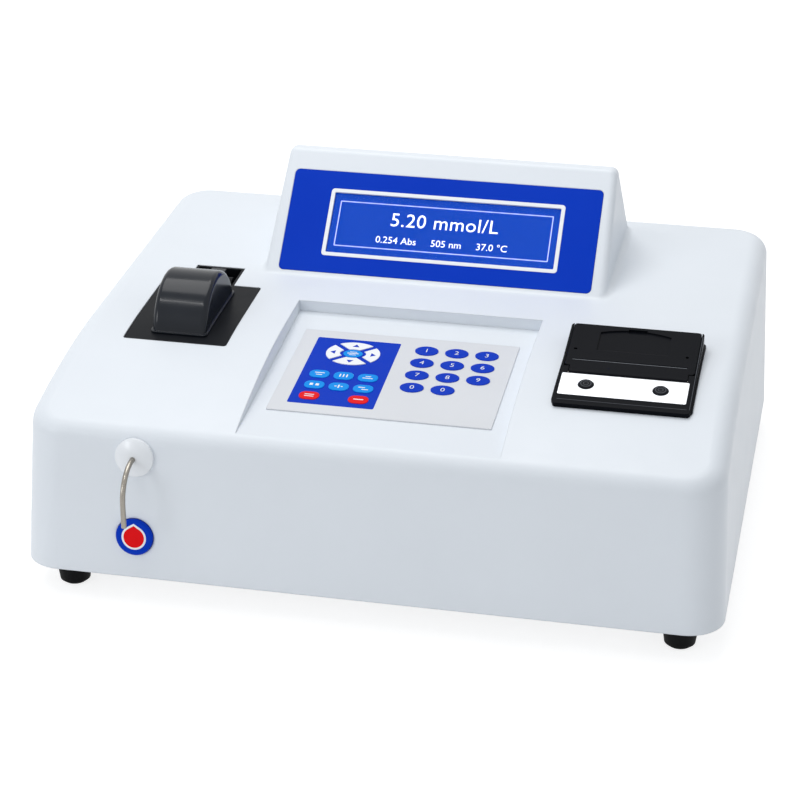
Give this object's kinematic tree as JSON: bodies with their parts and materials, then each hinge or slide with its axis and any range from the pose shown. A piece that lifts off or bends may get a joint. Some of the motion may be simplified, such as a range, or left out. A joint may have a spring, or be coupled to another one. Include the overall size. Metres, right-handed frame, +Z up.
{
  "type": "chemistry analyzer",
  "caption": "Benchtop chemistry analyzer: pale sloped housing with display hood, recessed keypad, domed cell lid, panel printer, front sipper tube and sample key.",
  "frame": {"origin": "middle of the footprint, with the sipper and the rear nipple, on the bench's surface", "axes": "+X to the right as the user faces the front, +Y to the back, +Z up"},
  "size_m": [0.44, 0.3986, 0.209],
  "materials": {
    "cover_plastic": "fine texture",
    "panel_blue": "printed",
    "bezel_white": "smooth",
    "window_glass": "clear",
    "module_dark": "plain",
    "film_grey": "satin film",
    "black_plastic": "semi-gloss",
    "lid_plastic": "gloss",
    "steel": "drawn",
    "strip_metal": "brushed",
    "aluminium": "milled",
    "rubber_black": "plain",
    "tray_plastic": "plain",
    "key_plastic": "printed",
    "button_plastic": "smooth",
    "fitting_black": "plain",
    "board_green": "solder mask",
    "silicone": "translucent",
    "clear_glass": "clear",
    "white_plastic": "plain",
    "gear_plastic": "plain"
  },
  "bodies": {
    "case": {"top_cover": "cover_plastic", "base_tray": "tray_plastic", "case_screws": "steel", "foot_front_left": "rubber_black", "foot_front_right": "rubber_black", "foot_back_left": "rubber_black", "foot_back_right": "rubber_black", "display_panel": "panel_blue", "display_bezel": "bezel_white", "lcd_glass": "window_glass", "lcd_module": "module_dark", "keypad_film": "film_grey", "well_plate": "black_plastic", "lid_pin": "steel", "cuvette_holder": "aluminium", "flow_cell": "clear_glass", "sipper_boss": "cover_plastic", "sipper_tube": "steel", "key_bracket": "aluminium", "key_switch": "fitting_black", "printer_frame": "black_plastic", "printer_lid_pin": "steel", "printer_strip": "strip_metal", "printer_key_board": "board_green", "printer_motor": "steel", "print_head": "aluminium", "optics_bench": "aluminium", "lamp_housing": "aluminium", "lamp": "clear_glass", "condenser_lens": "clear_glass", "filter_motor": "steel", "sensor_board": "board_green", "pump_head": "white_plastic", "pump_motor": "steel", "sample_hose": "silicone", "pump_hose": "silicone", "main_board": "board_green", "power_supply": "steel", "fan_frame": "fitting_black", "mains_inlet": "fitting_black", "switch_frame": "fitting_black", "serial_port": "steel", "waste_port": "white_plastic"},
    "cell_lid": {"flow_cell_lid": "lid_plastic"},
    "printer_door": {"printer_lid": "black_plastic"},
    "feed_key": {"feed_button": "button_plastic"},
    "select_key": {"select_button": "button_plastic"},
    "sample_key": {"aspirate_key": "key_plastic"},
    "rocker": {"power_rocker": "fitting_black"},
    "fan": {"fan_rotor": "fitting_black"},
    "wheel": {"filter_wheel": "aluminium", "filter_set": "clear_glass"},
    "rotor": {"pump_rotor": "aluminium"},
    "roller_1": {"pump_roller_1": "white_plastic"},
    "roller_2": {"pump_roller_2": "white_plastic"},
    "roller_3": {"pump_roller_3": "white_plastic"},
    "platen": {"platen_roller": "rubber_black", "platen_shaft": "steel", "platen_gear": "gear_plastic"},
    "pinion": {"drive_pinion": "gear_plastic"}
  },
  "joints": [
    {"name": "cell_lid_hinge", "type": "hinge", "parent": "case", "child": "cell_lid", "pos_m": [-0.146, 0.0268, 0.1366], "axis": [-1, 0, 0], "range_deg": [0, 100]},
    {"name": "printer_door_hinge", "type": "hinge", "parent": "case", "child": "printer_door", "pos_m": [0.1462, -0.07367, 0.13831], "axis": [1, 0, 0], "range_deg": [0, 90]},
    {"name": "feed_key_slide", "type": "slide", "parent": "case", "child": "feed_key", "axis": [0, 0.1908, -0.9816], "range_m": [0, 0.0008], "stiffness_N_per_m": 400},
    {"name": "select_key_slide", "type": "slide", "parent": "case", "child": "select_key", "axis": [0, 0.1908, -0.9816], "range_m": [0, 0.0008], "stiffness_N_per_m": 400},
    {"name": "sample_key_slide", "type": "slide", "parent": "case", "child": "sample_key", "axis": [0, 0.9942, -0.108], "range_m": [0, 0.0012], "stiffness_N_per_m": 400},
    {"name": "rocker_tilt", "type": "hinge", "parent": "case", "child": "rocker", "pos_m": [0.104, 0.18545, 0.05676], "axis": [0, -0.0489, 0.9988], "range_deg": [-20, 0]},
    {"name": "fan_spin", "type": "hinge", "parent": "case", "child": "fan", "pos_m": [-0.02, 0.17619, 0.08234], "axis": [0, 0.9988, 0.0489], "continuous": true},
    {"name": "wheel_spin", "type": "hinge", "parent": "case", "child": "wheel", "pos_m": [-0.117, -0.03089, 0.07998], "axis": [1, 0, 0], "continuous": true},
    {"name": "rotor_spin", "type": "hinge", "parent": "case", "child": "rotor", "pos_m": [-0.17, -0.12369, 0.062], "axis": [0, 1, 0], "continuous": true},
    {"name": "roller_1_spin", "type": "hinge", "parent": "rotor", "child": "roller_1", "pos_m": [-0.17, -0.12369, 0.0741], "axis": [0, 1, 0], "continuous": true},
    {"name": "roller_2_spin", "type": "hinge", "parent": "rotor", "child": "roller_2", "pos_m": [-0.18048, -0.12369, 0.05595], "axis": [0, 1, 0], "continuous": true},
    {"name": "roller_3_spin", "type": "hinge", "parent": "rotor", "child": "roller_3", "pos_m": [-0.15952, -0.12369, 0.05595], "axis": [0, 1, 0], "continuous": true},
    {"name": "platen_spin", "type": "hinge", "parent": "case", "child": "platen", "pos_m": [0.145, -0.06272, 0.13127], "axis": [1, 0, 0], "continuous": true},
    {"name": "pinion_spin", "type": "hinge", "parent": "case", "child": "pinion", "pos_m": [0.1774, -0.06062, 0.12047], "axis": [1, 0, 0], "continuous": true}
  ],
  "couplings": [
    {"joint": "roller_1_spin", "follows": "rotor_spin", "ratio": -3.75},
    {"joint": "roller_2_spin", "follows": "rotor_spin", "ratio": -3.75},
    {"joint": "roller_3_spin", "follows": "rotor_spin", "ratio": -3.75},
    {"joint": "pinion_spin", "follows": "platen_spin", "ratio": -2.6667}
  ]
}
